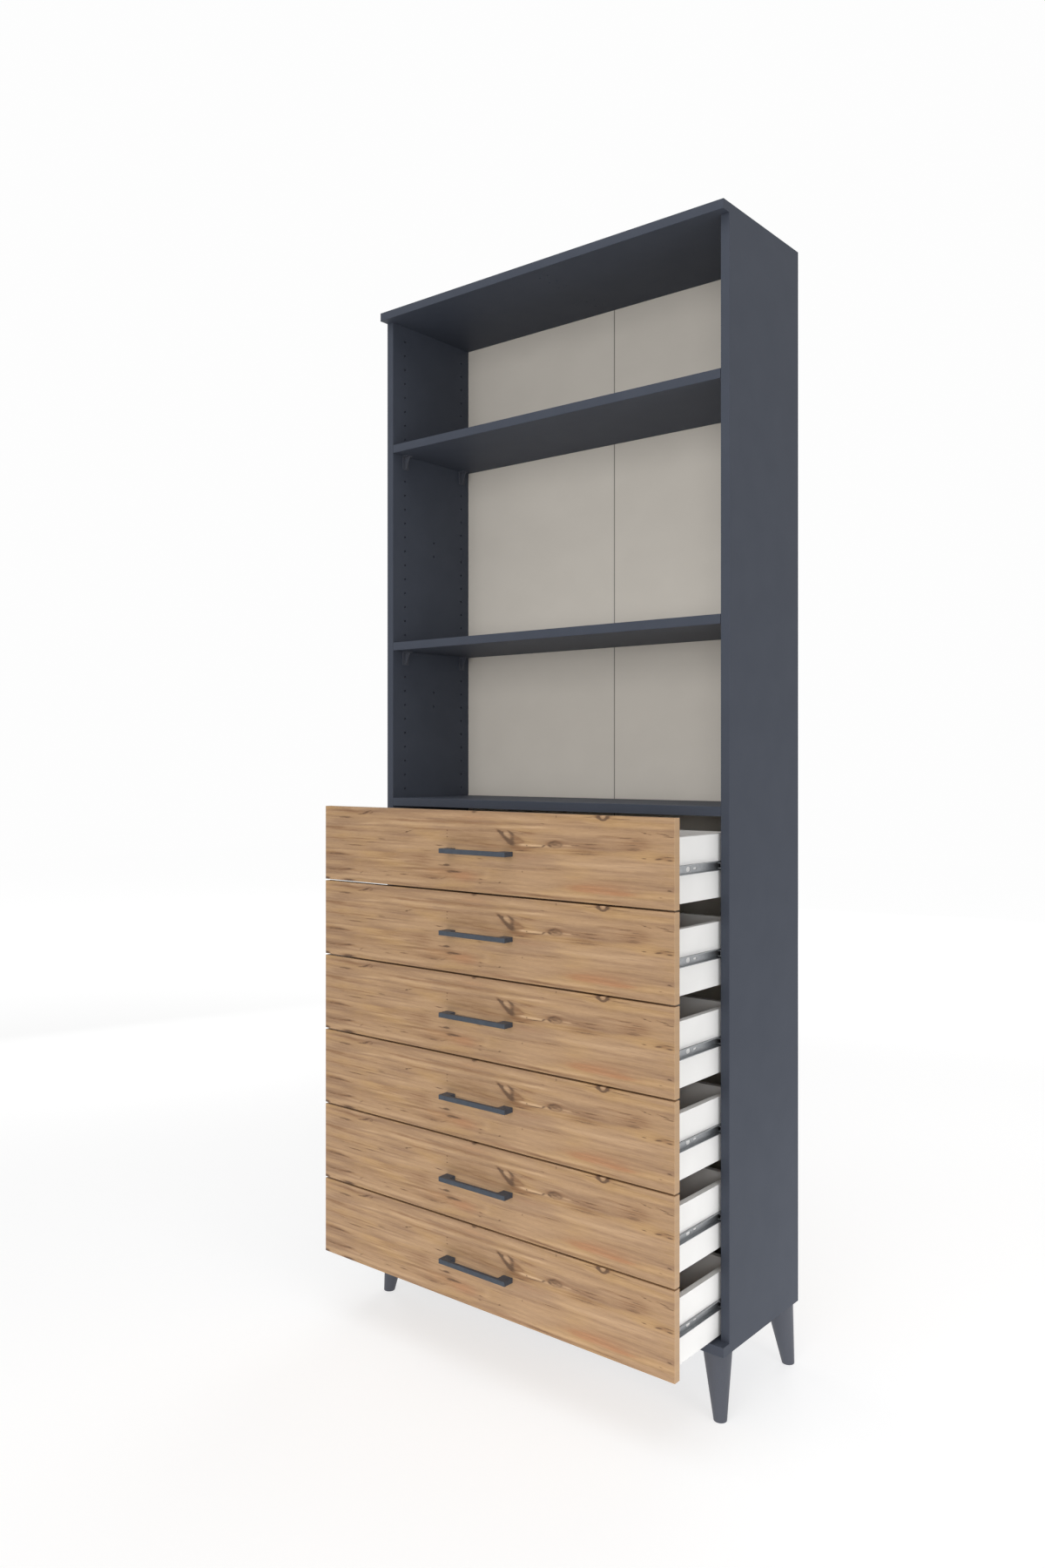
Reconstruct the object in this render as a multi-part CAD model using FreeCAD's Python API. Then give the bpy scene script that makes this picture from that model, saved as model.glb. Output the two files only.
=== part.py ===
import FreeCAD, Part
import os

Vector = FreeCAD.Vector

# Bookcase with six drawers below and three open compartments above.
# Millimetres, +Z up, +Y to the back. The origin is on the floor, at the middle of the whole part
# with its drawers standing open by open_at_rest.

# ---------------------------------------------------------------- carcase boards
carcase_width = 880.0          # over the side panels, and the length of the top and base panels
side_height = 2052.0           # a side panel stands on the base panel and carries the top panel
side_depth = 276.0             # front edge to rear edge of a side panel
board_thickness = 18.0         # every board of the carcase
front_overhang = 22.0          # how far the top and base panels stand forward of the sides
edge_radius = 0.8              # rounding of the edge bands

# ---------------------------------------------------------------- back
back_thickness = 3.0           # hardboard sheets
back_recess = 15.4             # rear face of the sheets to the rear edge of the sides
back_groove_depth = 8.0        # grooves in the sides, the top and the base that hold the sheets
back_groove_play = 0.2         # on each face of a sheet
seam_offset = 9.0              # middle of the joint between the two sheets, right of the middle
seam_width = 2.4               # web of the joining strip, seen from the front
strip_flange_width = 24.0
strip_flange_thickness = 1.2

# ---------------------------------------------------------------- drawers
drawer_count = 6
front_height = 157.0
front_gap = 3.3                # between one drawer front and the next
base_gap = 1.5                 # lowest front to the base panel
shelf_overlap = 4.5            # how far the highest front covers the fixed shelf's edge
front_thickness = 16.0
front_reveal = 0.5             # each end of a front to the carcase's outer face
front_radius = 1.2
closed_gap = 2.0               # front to the sides' edges with the drawer shut
travel = 175.0                 # shut to fully out
open_at_rest = 168.4           # how far out the drawers stand in the modelled pose

box_gap = 6.0                  # drawer box to side panel
box_wall = 12.0
box_height = 116.0
box_length = 246.0             # behind the front
box_lift = 4.7                 # front's lower edge to the box's lower edge
bottom_thickness = 3.0
bottom_lift = 10.0             # box's lower edge to the groove of the bottom
bottom_groove_depth = 5.0
bottom_play = 0.2
dowel_inset = 25.0             # box's upper and lower edge to a dowel
box_dowel_radius = 3.0
box_dowel_in_board = 9.0       # length in the piece that is drilled in its face
box_dowel_in_end = 15.0        # length in the piece that is drilled in its end

# ---------------------------------------------------------------- handles
handle_length = 168.0
handle_hole_spacing = 160.0
handle_reach = 24.5            # front face of the bar to the drawer front
handle_bar_depth = 7.0
handle_height = 9.0
handle_foot_width = 22.0
handle_corner_radius = 3.0     # inner corners between bar and feet
handle_edge_radius = 0.9
handle_screw_radius = 2.0
handle_screw_head_radius = 4.0
handle_screw_head_height = 2.4
handle_screw_in_foot = 9.0

# ---------------------------------------------------------------- drawer runners
runner_height = 17.0           # member in the drawer side's groove
runner_groove_depth = 4.0
runner_groove_play = 0.3       # above and below the member
runner_below_box_top = 57.9    # middle of the runner below the box's upper edge
runner_length = 246.0
runner_start = 2.0             # sides' front edge to the cabinet member
runner_sheet = 1.1
runner_side_clearance = 1.6    # drawer member's flanges to the side panel
cabinet_member_height = 10.6
cabinet_member_depth = 7.4
runner_corner_radius = 0.6
ball_radius = 1.25
ball_play = 0.2                # ball to its tracks
ball_pocket_play = 0.15        # ball to its pocket in the cage
ball_line = 4.5                # side panel to the middle of the balls
balls_per_row = 6
cage_sheet = 0.8
cage_flange = 1.0
cage_play = 0.35
cage_end_play = 1.5            # cage to the members' ends with the drawer fully out
large_hole_at = 72.0           # holes in the drawer member, behind the drawer front
large_hole_length = 14.0
large_hole_width = 9.0
small_hole_at = 95.0
small_hole_length = 11.0
small_hole_width = 4.0
drawer_member_screws_at = (190.0, 231.0)
cabinet_member_screws_at = (35.0, 227.0)
runner_screw_radius = 1.6
runner_screw_head_radius = 3.0
runner_screw_head_height = 1.8
drawer_screw_length = 6.5
cabinet_screw_length = 14.0

# ---------------------------------------------------------------- adjustable shelves
hole_radius = 2.5
hole_depth = 11.0
hole_pitch = 32.0
first_hole = 20.0              # fixed shelf to the lowest hole
last_hole_margin = 30.0        # least distance from the highest hole to the top panel
front_holes_at = 39.0          # sides' front edge to the front row
rear_holes_at = 231.0          # sides' front edge to the rear row
middle_holes_at = 135.0        # spare holes half way back
middle_hole_numbers = (6, 7, 17, 18)
lower_shelf_hole = 9           # number of the hole that carries the lower shelf, from 0
upper_shelf_hole = 23
shelf_end_play = 0.8
shelf_rear_play = 1.0
support_pin_drop = 26.0        # shelf's underside to the pin
support_width = 18.0
support_reach = 16.0
support_height = 31.0
support_sheet = 2.5
support_pin_radius = 2.4
support_pin_length = 9.0

# ---------------------------------------------------------------- spare holes under the top panel
top_hole_radius = 1.5
top_hole_depth = 9.0
top_hole_offset = 10.0
top_holes_at = (16.0, 48.0, 80.0, 180.0, 212.0)

# ---------------------------------------------------------------- legs
leg_height = 122.0
foot_radius = 12.2
foot_inset = 14.5              # middle of a foot to the base panel's edges
leg_top_radius = 27.0
leg_top_inset = 27.5
foot_edge_radius = 1.0
leg_bolt_radius = 4.0
leg_bolt_in_leg = 30.0
leg_bolt_in_base = 13.0

# ---------------------------------------------------------------- fixings of the boards
fixing_play = 0.1              # round a screw, a dowel or a cam in its hole
board_screws_at = (62.0, 202.0)
board_screw_radius = 3.0
board_screw_length = 50.0
board_screw_head_radius = 4.8
board_screw_head_height = 3.0
board_dowels_at = (98.0, 162.0)
board_dowel_radius = 4.0
board_dowel_half = 12.0        # length in each board
cams_at = (55.0, 215.0)
cam_radius = 7.5
cam_height = 12.5
cam_from_end = 24.0            # shelf's end to the middle of a cam
cam_bolt_radius = 3.0
cam_bolt_in_side = 11.0
shelf_dowels_at = (98.0, 172.0)
shelf_dowel_radius = 3.0

# ---------------------------------------------------------------- places worked out from them
half_width = carcase_width / 2
inner_x = half_width - board_thickness
front_reach = open_at_rest + closed_gap + front_thickness + handle_reach
front_y = (front_reach - side_depth) / 2
rear_y = front_y + side_depth
back_rear_y = rear_y - back_recess
back_front_y = back_rear_y - back_thickness

base_top_z = leg_height + board_thickness
top_under_z = base_top_z + side_height
total_height = top_under_z + board_thickness
drawer_numbers = range(1, drawer_count + 1)
front_pitch = front_height + front_gap
fronts_top_z = base_top_z + base_gap + drawer_count * front_pitch - front_gap
fixed_shelf_z = fronts_top_z - shelf_overlap
first_hole_z = fixed_shelf_z + board_thickness + first_hole
hole_count = int((top_under_z - last_hole_margin - first_hole_z) / hole_pitch) + 1

front_rear_y = front_y - closed_gap - open_at_rest
front_face_y = front_rear_y - front_thickness
box_half = inner_x - box_gap
box_inner_x = box_half - box_wall
box_end_y = front_rear_y + box_length
groove_floor_x = box_half - runner_groove_depth
bar_rear_y = front_rear_y - front_thickness - handle_reach + handle_bar_depth

cabinet_member_y = front_y + runner_start
ball_height = (cabinet_member_height / 2 + runner_height / 2 - runner_sheet) / 2
track_radius = ball_radius + ball_play
drawer_member_end_out = front_y - closed_gap - travel + runner_length
cage_length = drawer_member_end_out - cabinet_member_y - 2 * cage_end_play
cage_start_out = cabinet_member_y + cage_end_play
cage_start_y = cage_start_out + (travel - open_at_rest) / 2


# ---------------------------------------------------------------- heights
def drawer_z(number):
    """Lower edge of a drawer front, numbered from 1 at the top."""
    return base_top_z + base_gap + (drawer_count - number) * front_pitch


def runner_z(number):
    """Middle height of a drawer's runners, numbered as the drawers are."""
    return drawer_z(number) + box_lift + box_height - runner_below_box_top


def hole_z(number):
    """Height of a shelf hole, numbered from 0 at the fixed shelf."""
    return first_hole_z + number * hole_pitch


def shelf_z(number):
    """Underside of the adjustable shelf whose supports stand in a numbered hole."""
    return hole_z(number) + support_pin_drop


# ---------------------------------------------------------------- shape helpers
def block(x0, x1, y0, y1, z0, z1):
    """A box between two opposite corners."""
    return Part.makeBox(x1 - x0, y1 - y0, z1 - z0, Vector(x0, y0, z0))


def rod(radius, start, end):
    """A round bar from one point to another."""
    way = end.sub(start)
    return Part.makeCylinder(radius, way.Length, start, way)


def mirrored(shape):
    """The same shape on the left of the middle plane."""
    return shape.mirror(Vector(0, 0, 0), Vector(1, 0, 0))


def pair(shape):
    """The right-hand piece and its mirror image."""
    return [mirrored(shape), shape]


def softened(shape, radius, face_y, axes):
    """Round the straight edges that lie in the plane y = face_y and run along the named axes."""
    chosen = []
    for edge in shape.Edges:
        ends = [vertex.Point for vertex in edge.Vertexes]
        if len(ends) != 2 or max(abs(end.y - face_y) for end in ends) > 1e-6:
            continue
        way = ends[1].sub(ends[0])
        if "x" in axes and abs(way.x) > 0.99 * way.Length:
            chosen.append(edge)
        if "z" in axes and abs(way.z) > 0.99 * way.Length:
            chosen.append(edge)
    return shape.makeFillet(radius, chosen)


def slot_through_web(middle_y, middle_z, length, width, x0, x1):
    """A round-ended slot along Y, cut through a web between two x values."""
    half_run = (length - width) / 2
    ends = [Vector(x0, middle_y + side * half_run, middle_z) for side in (-1, 1)]
    tool = block(x0, x1, middle_y - half_run, middle_y + half_run,
                 middle_z - width / 2, middle_z + width / 2)
    for end in ends:
        tool = tool.fuse(rod(width / 2, end, Vector(x1, end.y, end.z)))
    return tool.removeSplitter()


# ---------------------------------------------------------------- carcase
def back_groove(x0, x1, z0, z1):
    """Room for a back sheet, with its play front and rear."""
    return block(x0, x1, back_front_y - back_groove_play, back_rear_y + back_groove_play, z0, z1)


def shelf_hole(at, number):
    """A blind hole in the right side panel's inner face."""
    start = Vector(inner_x, front_y + at, hole_z(number))
    return rod(hole_radius, start, start + Vector(hole_depth, 0, 0))


def board_screws(play=0.0):
    """Screws through the top and base panels into the ends of the right side panel."""
    screws = []
    middle_x = half_width - board_thickness / 2
    for at in board_screws_at:
        for face_z, way in ((total_height, -1), (leg_height, 1)):
            head = Vector(middle_x, front_y + at, face_z)
            neck = head + Vector(0, 0, way * board_screw_head_height)
            tip = head + Vector(0, 0, way * board_screw_length)
            screw = rod(board_screw_head_radius + play, head, neck)
            screw = screw.fuse(rod(board_screw_radius + play, neck, tip)).removeSplitter()
            screws.append(screw)
    return screws


def board_dowels(play=0.0):
    """Dowels between the right side panel and the top and base panels."""
    dowels = []
    middle_x = half_width - board_thickness / 2
    for at in board_dowels_at:
        for joint_z in (base_top_z, top_under_z):
            middle = Vector(middle_x, front_y + at, joint_z)
            reach = Vector(0, 0, board_dowel_half + play)
            dowels.append(rod(board_dowel_radius + play, middle - reach, middle + reach))
    return dowels


def shelf_dowels(play=0.0):
    """Dowels between the fixed shelf and the right side panel."""
    dowels = []
    middle_z = fixed_shelf_z + board_thickness / 2
    for at in shelf_dowels_at:
        middle = Vector(inner_x, front_y + at, middle_z)
        reach = Vector(board_dowel_half + play, 0, 0)
        dowels.append(rod(shelf_dowel_radius + play, middle - reach, middle + reach))
    return dowels


def cam_bolts(play=0.0):
    """Bolts that stand in the right side panel and reach the cams of the fixed shelf."""
    bolts = []
    middle_z = fixed_shelf_z + board_thickness / 2
    for at in cams_at:
        start = Vector(inner_x - cam_from_end + cam_radius, front_y + at, middle_z)
        end = Vector(inner_x + cam_bolt_in_side + play, front_y + at, middle_z)
        bolts.append(rod(cam_bolt_radius + play, start, end))
    return bolts


def cams(play=0.0):
    """Round cams let into the underside of the fixed shelf."""
    pieces = []
    for at in cams_at:
        start = Vector(inner_x - cam_from_end, front_y + at, fixed_shelf_z)
        pieces.append(rod(cam_radius + play, start, start + Vector(0, 0, cam_height + play)))
    return pieces


def side_panel():
    """Right side panel: shelf holes, back groove, and holes for every fixing."""
    panel = block(inner_x, half_width, front_y, rear_y, base_top_z, top_under_z)
    panel = softened(panel, edge_radius, front_y, "z")
    tools = [back_groove(inner_x, inner_x + back_groove_depth, base_top_z, top_under_z)]
    for number in range(hole_count):
        tools.append(shelf_hole(front_holes_at, number))
        tools.append(shelf_hole(rear_holes_at, number))
    for number in middle_hole_numbers:
        tools.append(shelf_hole(middle_holes_at, number))
    tools += board_screws(fixing_play) + board_dowels(fixing_play)
    tools += shelf_dowels(fixing_play) + cam_bolts(fixing_play)
    for number in drawer_numbers:
        tools += cabinet_screws(runner_z(number), fixing_play)
    return panel.cut(tools)


def end_board(low_z):
    """Top or base panel: full width, standing forward of the sides, without holes."""
    board = block(-half_width, half_width, front_y - front_overhang, rear_y, low_z, low_z + board_thickness)
    return softened(board, edge_radius, front_y - front_overhang, "xz")


def fixing_holes():
    """Holes for the screws and dowels at both ends of the top and base panels."""
    tools = []
    for tool in board_screws(fixing_play) + board_dowels(fixing_play):
        tools += pair(tool)
    return tools


def top_panel():
    """Top panel with its back groove and the spare holes in its underside."""
    tools = fixing_holes()
    groove_end = inner_x + back_groove_depth
    tools.append(back_groove(-groove_end, groove_end, top_under_z, top_under_z + back_groove_depth))
    for at in top_holes_at:
        for side in (-1, 1):
            start = Vector(side * top_hole_offset, front_y + at, top_under_z)
            tools.append(rod(top_hole_radius, start, start + Vector(0, 0, top_hole_depth)))
    return end_board(top_under_z).cut(tools)


def base_panel():
    """Base panel with its back groove and the holes of the leg bolts."""
    tools = fixing_holes()
    groove_end = inner_x + back_groove_depth
    tools.append(back_groove(-groove_end, groove_end, base_top_z - back_groove_depth, base_top_z))
    tools += leg_bolts(fixing_play)
    return end_board(leg_height).cut(tools)


def fixed_shelf():
    """Shelf above the drawers, held by dowels and cams."""
    shelf = block(-inner_x, inner_x, front_y, back_front_y,
                  fixed_shelf_z, fixed_shelf_z + board_thickness)
    shelf = softened(shelf, edge_radius, front_y, "x")
    tools = []
    for tool in shelf_dowels(fixing_play) + cam_bolts(fixing_play) + cams(fixing_play):
        tools += pair(tool)
    return shelf.cut(tools)


def adjustable_shelf(number):
    """Loose shelf on four supports."""
    end_x = inner_x - shelf_end_play
    low_z = shelf_z(number)
    shelf = block(-end_x, end_x, front_y, back_front_y - shelf_rear_play,
                  low_z, low_z + board_thickness)
    return softened(shelf, edge_radius, front_y, "x")


def shelf_support(at, number):
    """Angle with a web and a pin, in a hole of the right side panel."""
    middle_y = front_y + at
    top_z = shelf_z(number)
    low_y = middle_y - support_width / 2
    high_y = middle_y + support_width / 2
    support = block(inner_x - support_reach, inner_x, low_y, high_y, top_z - support_sheet, top_z)
    support = support.fuse(block(inner_x - support_sheet, inner_x, low_y, high_y,
                                 top_z - support_height, top_z))
    web_corners = [
        Vector(inner_x - support_sheet, middle_y - support_sheet / 2, top_z - support_sheet),
        Vector(inner_x - support_reach, middle_y - support_sheet / 2, top_z - support_sheet),
        Vector(inner_x - support_sheet, middle_y - support_sheet / 2, top_z - support_height),
    ]
    web = Part.Face(Part.makePolygon(web_corners + web_corners[:1]))
    support = support.fuse(web.extrude(Vector(0, support_sheet, 0)))
    pin_start = Vector(inner_x - support_sheet, middle_y, hole_z(number))
    pin_end = Vector(inner_x + support_pin_length, middle_y, hole_z(number))
    return support.fuse(rod(support_pin_radius, pin_start, pin_end)).removeSplitter()


def shelf_supports():
    """Four supports for each of the two adjustable shelves."""
    supports = []
    for number in (lower_shelf_hole, upper_shelf_hole):
        for at in (front_holes_at, rear_holes_at):
            supports += pair(shelf_support(at, number))
    return supports


def back_sheet(x0, x1):
    """One half of the back, reaching into the grooves of the base and the top."""
    depth = back_groove_depth - back_groove_play
    return block(x0, x1, back_front_y, back_rear_y, base_top_z - depth, top_under_z + depth)


def back_joining_strip():
    """Strip with a web between the two sheets and a flange behind them."""
    low_z = base_top_z
    high_z = top_under_z
    web = block(seam_offset - seam_width / 2, seam_offset + seam_width / 2,
                back_front_y, back_rear_y, low_z, high_z)
    flange = block(seam_offset - strip_flange_width / 2, seam_offset + strip_flange_width / 2,
                   back_rear_y, back_rear_y + strip_flange_thickness, low_z, high_z)
    return web.fuse(flange).removeSplitter()


def leg_places():
    """For each leg, the middle of its foot and the middle of its top."""
    middle_y = (front_y - front_overhang + rear_y) / 2
    half_depth = (rear_y - front_y + front_overhang) / 2
    places = []
    for side_x, side_y in ((-1, -1), (1, -1), (-1, 1), (1, 1)):
        foot = Vector(side_x * (half_width - foot_inset),
                      middle_y + side_y * (half_depth - foot_inset), 0)
        top = Vector(side_x * (half_width - leg_top_inset),
                     middle_y + side_y * (half_depth - leg_top_inset), leg_height)
        places.append((foot, top))
    return places


def leg_bolts(play=0.0):
    """Upright bolts that join the legs to the base panel."""
    bolts = []
    for _, top in leg_places():
        low = top - Vector(0, 0, leg_bolt_in_leg + play)
        high = top + Vector(0, 0, leg_bolt_in_base + play)
        bolts.append(rod(leg_bolt_radius + play, low, high))
    return bolts


def leg(foot, top):
    """Tapered round leg that leans outwards, flat on the floor and under the base."""
    low_ring = Part.Wire(Part.makeCircle(foot_radius, foot))
    high_ring = Part.Wire(Part.makeCircle(leg_top_radius, top))
    body = Part.makeLoft([low_ring, high_ring], True, True)
    low_edges = [edge for edge in body.Edges if edge.BoundBox.ZMax < 1e-3]
    body = body.makeFillet(foot_edge_radius, low_edges)
    return body.cut(leg_bolts(fixing_play))


# ---------------------------------------------------------------- runners
def channel(web_x, tip_x, half_height, y0, length, sheet):
    """A channel along Y: its web stands at web_x and its two flanges reach to tip_x."""
    low_x = min(web_x, tip_x)
    high_x = max(web_x, tip_x)
    inward = sheet if tip_x > web_x else -sheet
    outer = block(low_x, high_x, y0, y0 + length, -half_height, half_height)
    corners = []
    for edge in outer.Edges:
        ends = [vertex.Point for vertex in edge.Vertexes]
        if all(abs(end.x - web_x) < 1e-6 for end in ends) and abs(ends[0].y - ends[1].y) > 1:
            corners.append(edge)
    outer = outer.makeFillet(runner_corner_radius, corners)
    room_start = web_x + inward
    room_end = tip_x + inward
    room = block(min(room_start, room_end), max(room_start, room_end), y0, y0 + length,
                 -half_height + sheet, half_height - sheet)
    return outer.cut(room)


def ball_tracks(y0, length):
    """Two round bars that leave the ball tracks where they are cut away."""
    tracks = []
    for side in (-1, 1):
        start = Vector(inner_x - ball_line, y0, side * ball_height)
        tracks.append(rod(track_radius, start, start + Vector(0, length, 0)))
    return tracks


def countersunk_screw(face, way, length, play):
    """A screw with its head flush with a face, pointing along the unit vector way."""
    head = Part.makeCone(runner_screw_head_radius + play, runner_screw_radius + play,
                         runner_screw_head_height, face, way)
    shank = rod(runner_screw_radius + play, face + way * runner_screw_head_height,
                face + way * (length + play))
    return head.fuse(shank).removeSplitter()


def cabinet_screws(middle_z, play=0.0):
    """Screws of a cabinet member in the right side panel."""
    face_x = inner_x - runner_sheet
    screws = []
    for at in cabinet_member_screws_at:
        face = Vector(face_x, cabinet_member_y + at, middle_z)
        screws.append(countersunk_screw(face, Vector(1, 0, 0), cabinet_screw_length, play))
    return screws


def cabinet_member(middle_z):
    """Narrow channel on the right side panel, open towards the drawer."""
    member = channel(inner_x, inner_x - cabinet_member_depth, cabinet_member_height / 2,
                     cabinet_member_y, runner_length, runner_sheet)
    member = member.cut(ball_tracks(cabinet_member_y, runner_length))
    member.translate(Vector(0, 0, middle_z))
    return member.cut(cabinet_screws(middle_z, fixing_play))


def cabinet_runners():
    """Every cabinet member with its screws."""
    pieces = []
    for number in drawer_numbers:
        middle_z = runner_z(number)
        for piece in [cabinet_member(middle_z)] + cabinet_screws(middle_z):
            pieces += pair(piece)
    return pieces


def drawer_screws(middle_z, play=0.0):
    """Screws of a drawer member in the right wall of the box."""
    face_x = groove_floor_x + runner_sheet
    screws = []
    for at in drawer_member_screws_at:
        face = Vector(face_x, front_rear_y + at, middle_z)
        screws.append(countersunk_screw(face, Vector(-1, 0, 0), drawer_screw_length, play))
    return screws


def drawer_member(middle_z):
    """Wide channel in the groove of the drawer's right wall, open towards the side panel."""
    member = channel(groove_floor_x, inner_x - runner_side_clearance, runner_height / 2,
                     front_rear_y, runner_length, runner_sheet)
    tools = ball_tracks(front_rear_y, runner_length)
    web_start = groove_floor_x - runner_sheet
    web_end = groove_floor_x + 2 * runner_sheet
    tools.append(slot_through_web(front_rear_y + large_hole_at, 0, large_hole_length,
                                  large_hole_width, web_start, web_end))
    tools.append(slot_through_web(front_rear_y + small_hole_at, 0, small_hole_length,
                                  small_hole_width, web_start, web_end))
    member = member.cut(tools)
    member.translate(Vector(0, 0, middle_z))
    return member.cut(drawer_screws(middle_z, fixing_play))


def drawer_runners(middle_z):
    """Both drawer members of one drawer with their screws."""
    pieces = []
    for piece in [drawer_member(middle_z)] + drawer_screws(middle_z):
        pieces += pair(piece)
    return pieces


def ball_places(middle_z):
    """Middles of the balls of the right runner."""
    places = []
    pitch = cage_length / balls_per_row
    for number in range(balls_per_row):
        y = cage_start_y + (number + 0.5) * pitch
        for side in (-1, 1):
            places.append(Vector(inner_x - ball_line, y, middle_z + side * ball_height))
    return places


def ball_cages(middle_z):
    """Cages of one drawer's two runners, each with its balls."""
    web_x = groove_floor_x + runner_sheet + cage_play
    tip_x = inner_x - runner_side_clearance - cage_play
    half_height = ball_height + cage_flange / 2
    cage = block(web_x, tip_x, cage_start_y, cage_start_y + cage_length,
                 middle_z - half_height, middle_z + half_height)
    room_height = ball_height - cage_flange / 2
    cage = cage.cut(block(web_x + cage_sheet, tip_x, cage_start_y, cage_start_y + cage_length,
                          middle_z - room_height, middle_z + room_height))
    pockets = []
    balls = []
    for place in ball_places(middle_z):
        reach = Vector(0, 0, ball_radius)
        pockets.append(rod(ball_radius + ball_pocket_play, place - reach, place + reach))
        balls.append(Part.makeSphere(ball_radius, place))
    pieces = []
    for piece in [cage.cut(pockets)] + balls:
        pieces += pair(piece)
    return pieces


# ---------------------------------------------------------------- drawers
def handle_screws(low_z, play=0.0):
    """Screws from inside the drawer front into the feet of the handle."""
    middle_z = low_z + front_height / 2
    screws = []
    for side in (-1, 1):
        seat = Vector(side * handle_hole_spacing / 2, front_rear_y, middle_z)
        tip = seat - Vector(0, front_thickness + handle_screw_in_foot + play, 0)
        back = seat + Vector(0, handle_screw_head_height, 0)
        screw = rod(handle_screw_radius + play, seat, tip)
        screws.append(screw.fuse(rod(handle_screw_head_radius, seat, back)).removeSplitter())
    return screws


def front_dowels(low_z, play=0.0):
    """Dowels between the drawer front and the right wall of the box."""
    low = low_z + box_lift + dowel_inset
    high = low_z + box_lift + box_height - dowel_inset
    dowels = []
    for z in (low, high):
        start = Vector(box_half - box_wall / 2, front_rear_y - box_dowel_in_board - play, z)
        end = Vector(start.x, front_rear_y + box_dowel_in_end + play, z)
        dowels.append(rod(box_dowel_radius + play, start, end))
    return dowels


def rear_dowels(low_z, play=0.0):
    """Dowels between the right wall and the back wall of the box."""
    low = low_z + box_lift + dowel_inset
    high = low_z + box_lift + box_height - dowel_inset
    dowels = []
    for z in (low, high):
        start = Vector(box_inner_x - box_dowel_in_end - play, box_end_y - box_wall / 2, z)
        end = Vector(box_inner_x + box_dowel_in_board + play, start.y, z)
        dowels.append(rod(box_dowel_radius + play, start, end))
    return dowels


def bottom_groove(low_z):
    """Room for the edges of the drawer bottom in all four walls."""
    depth = bottom_groove_depth
    groove_z = low_z + box_lift + bottom_lift
    return block(-box_inner_x - depth, box_inner_x + depth,
                 front_rear_y - depth, box_end_y - box_wall + depth,
                 groove_z - bottom_play, groove_z + bottom_thickness + bottom_play)


def drawer_front(low_z):
    """Front board with rounded edges, drilled for the handle and the dowels."""
    half = half_width - front_reveal
    front = block(-half, half, front_face_y, front_rear_y, low_z, low_z + front_height)
    front = softened(front, front_radius, front_face_y, "xz")
    tools = [bottom_groove(low_z)] + handle_screws(low_z, fixing_play)
    for dowel in front_dowels(low_z, fixing_play):
        tools += pair(dowel)
    return front.cut(tools)


def drawer_sides(low_z, middle_z):
    """Both side walls with the dowels that are glued into them."""
    box_z = low_z + box_lift
    wall = block(box_inner_x, box_half, front_rear_y, box_end_y, box_z, box_z + box_height)
    groove_half = runner_height / 2 + runner_groove_play
    tools = [
        bottom_groove(low_z),
        block(groove_floor_x, box_half, front_rear_y, box_end_y,
              middle_z - groove_half, middle_z + groove_half),
    ]
    tools += front_dowels(low_z, fixing_play) + rear_dowels(low_z, fixing_play)
    tools += drawer_screws(middle_z, fixing_play)
    pieces = []
    for piece in [wall.cut(tools)] + front_dowels(low_z) + rear_dowels(low_z):
        pieces += pair(piece)
    return pieces


def drawer_back(low_z):
    """Back wall between the side walls."""
    box_z = low_z + box_lift
    wall = block(-box_inner_x, box_inner_x, box_end_y - box_wall, box_end_y,
                 box_z, box_z + box_height)
    tools = [bottom_groove(low_z)]
    for dowel in rear_dowels(low_z, fixing_play):
        tools += pair(dowel)
    return wall.cut(tools)


def drawer_bottom(low_z):
    """Thin bottom that sits in the grooves of the four walls."""
    reach = bottom_groove_depth - bottom_play
    sheet_z = low_z + box_lift + bottom_lift
    return block(-box_inner_x - reach, box_inner_x + reach,
                 front_rear_y - reach, box_end_y - box_wall + reach,
                 sheet_z, sheet_z + bottom_thickness)


def drawer_handle(low_z):
    """Bridge handle: a straight bar on two wide feet, drilled for its screws."""
    half = handle_length / 2
    foot_x = half - handle_foot_width
    low = low_z + (front_height - handle_height) / 2
    high = low + handle_height
    bar = block(-half, half, front_face_y - handle_reach, front_face_y, low, high)
    bar = softened(bar, handle_edge_radius, front_face_y - handle_reach, "xz")
    gap = block(-foot_x, foot_x, bar_rear_y, front_face_y + handle_corner_radius, low, high)
    corners = []
    for edge in gap.Edges:
        ends = [vertex.Point for vertex in edge.Vertexes]
        if all(abs(end.y - bar_rear_y) < 1e-6 for end in ends) and abs(ends[0].z - ends[1].z) > 1:
            corners.append(edge)
    gap = gap.makeFillet(handle_corner_radius, corners)
    return bar.cut([gap] + handle_screws(low_z, fixing_play))


# ---------------------------------------------------------------- writing
def save(name, pieces):
    """Write one node, a single solid or a group of separate ones."""
    shape = pieces[0] if len(pieces) == 1 else Part.makeCompound(pieces)
    shape.exportStep("parts/" + name + ".step")


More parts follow.
